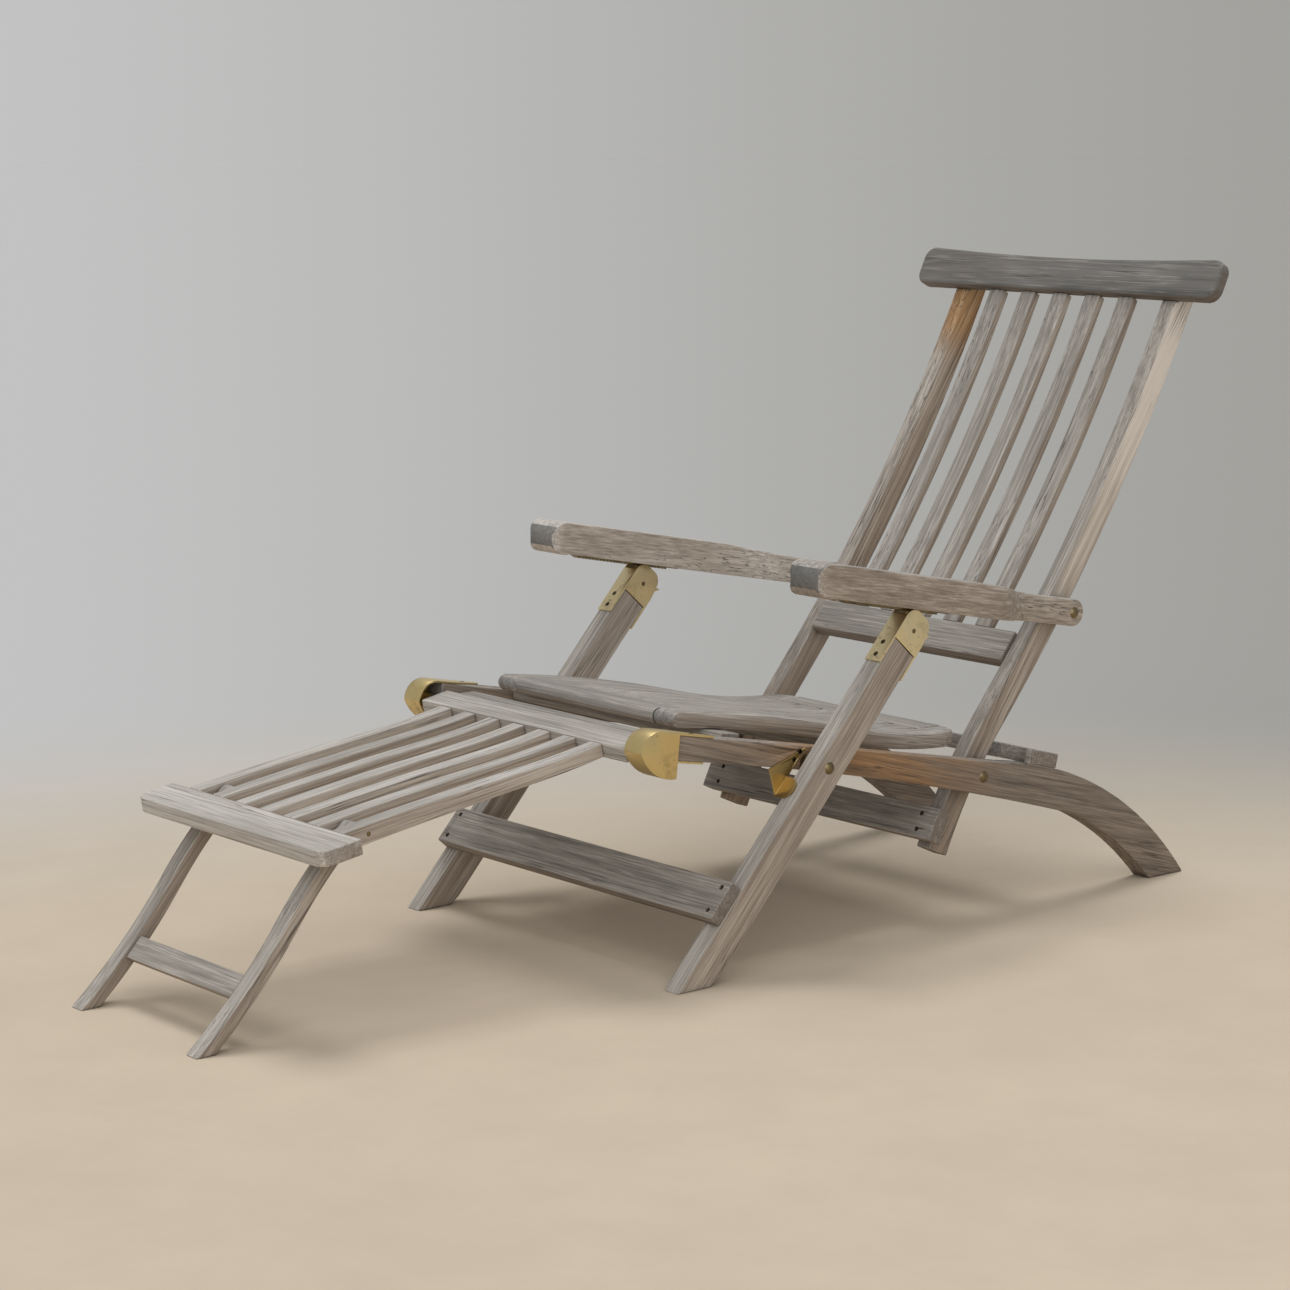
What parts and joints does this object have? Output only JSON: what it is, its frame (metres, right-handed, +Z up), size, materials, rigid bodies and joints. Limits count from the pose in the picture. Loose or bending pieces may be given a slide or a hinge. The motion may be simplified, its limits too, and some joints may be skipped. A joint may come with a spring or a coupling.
{
  "type": "folding deck chair",
  "caption": "Folding teak deck chair: reclining slatted back, curved seat, swept rear legs, arms on brass racks and catches, and a slatted leg rest with its own folding legs.",
  "frame": {"origin": "Centre of the overall box at floor level, on the chair's middle plane.", "axes": "+X towards the picture's near side (the sitter's left), +Y from the leg rest towards the head end, +Z up."},
  "size_m": [0.57, 1.5306, 0.821],
  "materials": {
    "teak": "weathered grey-brown, unvarnished",
    "teak_dark": "darker weathered grey",
    "brass": "aged brass with dull patina",
    "screw": "darkened brass"
  },
  "bodies": {
    "frame": {"side_rail_left": "teak", "side_rail_right": "teak", "seat_side_left": "teak", "seat_side_right": "teak", "hinge_cup_left": "brass", "hinge_cup_right": "brass", "leg_stop_left": "brass", "leg_stop_right": "brass", "front_cross_rail": "teak", "rear_cross_board": "teak", "seat_front_rail": "teak", "seat_rear_rail": "teak", "seat_slats": "teak", "seat_bearers": "teak", "frame_screws": "screw", "leg_bolts": "brass", "leg_spacers": "brass", "back_washers": "brass"},
    "front_legs": {"front_leg_left": "teak", "front_leg_right": "teak", "leg_catch_left": "brass", "leg_catch_right": "brass", "front_stretcher": "teak", "leg_screws": "screw", "trigger_pins": "brass"},
    "trigger_left": {"catch_trigger_left": "brass"},
    "trigger_right": {"catch_trigger_right": "brass"},
    "back_pivot": {"back_bolts": "brass"},
    "back": {"back_post_left": "teak", "back_post_right": "teak", "back_slat_1": "teak", "back_slat_2": "teak", "back_slat_3": "teak", "back_slat_4": "teak", "back_slat_5": "teak", "low_back_rail": "teak", "headboard": "teak_dark", "back_stretcher": "teak", "back_screws": "screw"},
    "arm_pivot_left": {"arm_bolt_left": "brass"},
    "arm_pivot_right": {"arm_bolt_right": "brass"},
    "arm_left": {"arm_left": "teak", "rack_left": "brass"},
    "arm_right": {"arm_right": "teak", "rack_right": "brass"},
    "leg_rest": {"rest_hinge_rail": "teak", "rest_pins": "brass", "foot_board": "teak", "rest_bolts": "brass", "rest_slat_1": "teak", "rest_slat_2": "teak", "rest_slat_3": "teak", "rest_slat_4": "teak", "rest_slat_5": "teak", "rest_slat_6": "teak", "rest_slat_7": "teak"},
    "rest_legs": {"rest_leg_left": "teak", "rest_leg_right": "teak", "rest_stretcher": "teak"}
  },
  "joints": [
    {"name": "fold", "type": "hinge", "parent": "frame", "child": "back_pivot", "pos_m": [0, 0.3414, 0.181], "axis": [1, 0, 0], "range_deg": [0, 92]},
    {"name": "front_legs_fold", "type": "hinge", "parent": "frame", "child": "front_legs", "pos_m": [0, 0.04081, 0.23778], "axis": [1, 0, 0], "range_deg": [0, 116]},
    {"name": "recline", "type": "hinge", "parent": "back_pivot", "child": "back", "pos_m": [0, 0.3414, 0.181], "axis": [1, 0, 0], "range_deg": [-25, 0]},
    {"name": "arm_tilt_left", "type": "hinge", "parent": "back_pivot", "child": "arm_pivot_left", "pos_m": [0, 0.07486, -0.04168], "axis": [1, 0, 0], "range_deg": [-10.77, 0]},
    {"name": "arm_lift_left", "type": "hinge", "parent": "arm_pivot_left", "child": "arm_left", "pos_m": [0, 0.5034, 0.375], "axis": [1, 0, 0], "range_deg": [-101.5, 0]},
    {"name": "trigger_left", "type": "hinge", "parent": "front_legs", "child": "trigger_left", "pos_m": [0, 0.1789, 0.38997], "axis": [-1, 0, 0], "range_deg": [0, 12], "stiffness_Nm_per_rad": 0.25, "springref_deg": -17.19},
    {"name": "arm_tilt_right", "type": "hinge", "parent": "back_pivot", "child": "arm_pivot_right", "pos_m": [0, 0.07486, -0.04168], "axis": [1, 0, 0], "range_deg": [-10.77, 0]},
    {"name": "arm_lift_right", "type": "hinge", "parent": "arm_pivot_right", "child": "arm_right", "pos_m": [0, 0.5034, 0.375], "axis": [1, 0, 0], "range_deg": [-101.5, 0]},
    {"name": "trigger_right", "type": "hinge", "parent": "front_legs", "child": "trigger_right", "pos_m": [0, 0.1789, 0.38997], "axis": [-1, 0, 0], "range_deg": [0, 12], "stiffness_Nm_per_rad": 0.25, "springref_deg": -17.19},
    {"name": "leg_rest", "type": "hinge", "parent": "frame", "child": "leg_rest", "pos_m": [0, -0.1966, 0.28], "axis": [-1, 0, 0], "range_deg": [0, 70]},
    {"name": "rest_legs", "type": "hinge", "parent": "leg_rest", "child": "rest_legs", "pos_m": [0, -0.5506, 0.224], "axis": [1, 0, 0], "range_deg": [0, 132]}
  ],
  "couplings": [
    {"joint": "front_legs_fold", "follows": "fold", "ratio": 1.2608},
    {"joint": "arm_tilt_left", "follows": "recline", "ratio": 0.4209},
    {"joint": "arm_lift_left", "follows": "fold", "ratio": -1.1},
    {"joint": "arm_tilt_right", "follows": "recline", "ratio": 0.4209},
    {"joint": "arm_lift_right", "follows": "fold", "ratio": -1.1}
  ]
}
